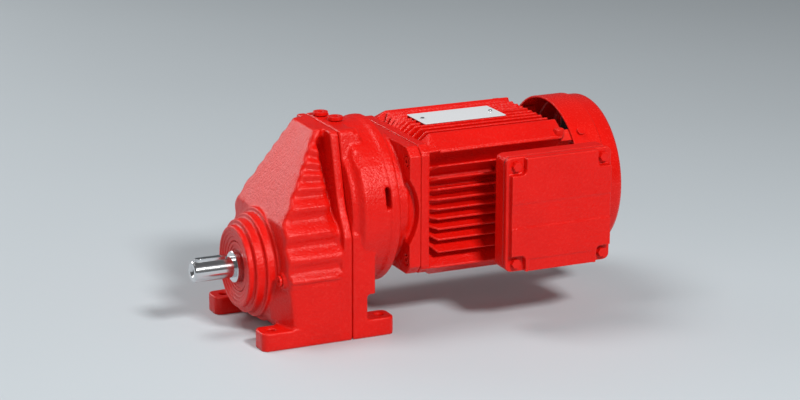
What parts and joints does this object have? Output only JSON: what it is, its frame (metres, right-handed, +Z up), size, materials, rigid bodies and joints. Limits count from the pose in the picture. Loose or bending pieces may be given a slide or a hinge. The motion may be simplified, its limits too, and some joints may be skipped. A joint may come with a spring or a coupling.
{
  "type": "helical gear unit with motor",
  "caption": "Foot-mounted helical gear unit with a finned motor, side terminal box and keyed output shaft.",
  "frame": {"origin": "bottom centre of the whole unit's box, on the plane that the feet stand on", "axes": "+X along both shafts from the output shaft towards the fan cowl, +Z up; the terminal box is on the -Y side"},
  "size_m": [0.418, 0.202, 0.1988],
  "materials": {
    "red_paint": "cast texture, satin red enamel",
    "bright_steel": "ground bright",
    "black_oxide_steel": "black oxide",
    "ground_gear_steel": "ground tooth flanks",
    "rotor_lamination": "stacked sheet",
    "stator_winding": "varnished winding and sheet stack",
    "seal_rubber": "moulded, matt",
    "black_plastic": "moulded, matt",
    "blank_plate": "blank, light anodised"
  },
  "bodies": {
    "unit": {"gear_housing_front": "red_paint", "gear_housing_rear": "red_paint", "endshield_front": "red_paint", "stator_frame": "red_paint", "endshield_rear": "red_paint", "fan_cowl": "red_paint", "terminal_box_base": "red_paint", "terminal_box_cover": "red_paint", "output_oil_seal": "red_paint", "breather_plug": "red_paint", "filler_plug": "red_paint", "oil_level_plug": "red_paint", "cowl_screw_1": "red_paint", "cowl_screw_2": "red_paint", "cowl_screw_3": "red_paint", "cowl_screw_4": "red_paint", "cover_screw_1": "red_paint", "cover_screw_2": "red_paint", "cover_screw_3": "red_paint", "cover_screw_4": "red_paint", "output_bearing_front": "bright_steel", "output_bearing_rear": "bright_steel", "motor_bearing_front": "bright_steel", "motor_bearing_rear": "bright_steel", "nameplate_rivet_1": "bright_steel", "nameplate_rivet_2": "bright_steel", "housing_bolt_1": "black_oxide_steel", "housing_bolt_2": "black_oxide_steel", "housing_bolt_3": "black_oxide_steel", "housing_bolt_4": "black_oxide_steel", "flange_bolt_1": "black_oxide_steel", "flange_bolt_2": "black_oxide_steel", "flange_bolt_3": "black_oxide_steel", "flange_bolt_4": "black_oxide_steel", "stator_core": "stator_winding", "pinion_oil_seal": "seal_rubber", "terminal_box_gasket": "seal_rubber", "terminal_board": "black_plastic", "cable_entry_plug_1": "black_plastic", "cable_entry_plug_2": "black_plastic", "nameplate": "blank_plate"},
    "output": {"output_shaft": "bright_steel", "output_key": "bright_steel", "gear_key": "black_oxide_steel", "output_gear": "ground_gear_steel", "gear_spacer": "bright_steel"},
    "rotor": {"rotor_shaft": "bright_steel", "motor_pinion": "ground_gear_steel", "rotor_core": "rotor_lamination", "fan": "black_plastic"}
  },
  "joints": [
    {"name": "output_shaft_turn", "type": "hinge", "parent": "unit", "child": "output", "pos_m": [-0.169, 0.021, 0.063], "axis": [1, 0, 0], "continuous": true},
    {"name": "rotor_turn", "type": "hinge", "parent": "unit", "child": "rotor", "pos_m": [-0.169, 0.021, 0.1155], "axis": [1, 0, 0], "continuous": true}
  ],
  "couplings": [
    {"joint": "rotor_turn", "follows": "output_shaft_turn", "ratio": -3.8571}
  ]
}
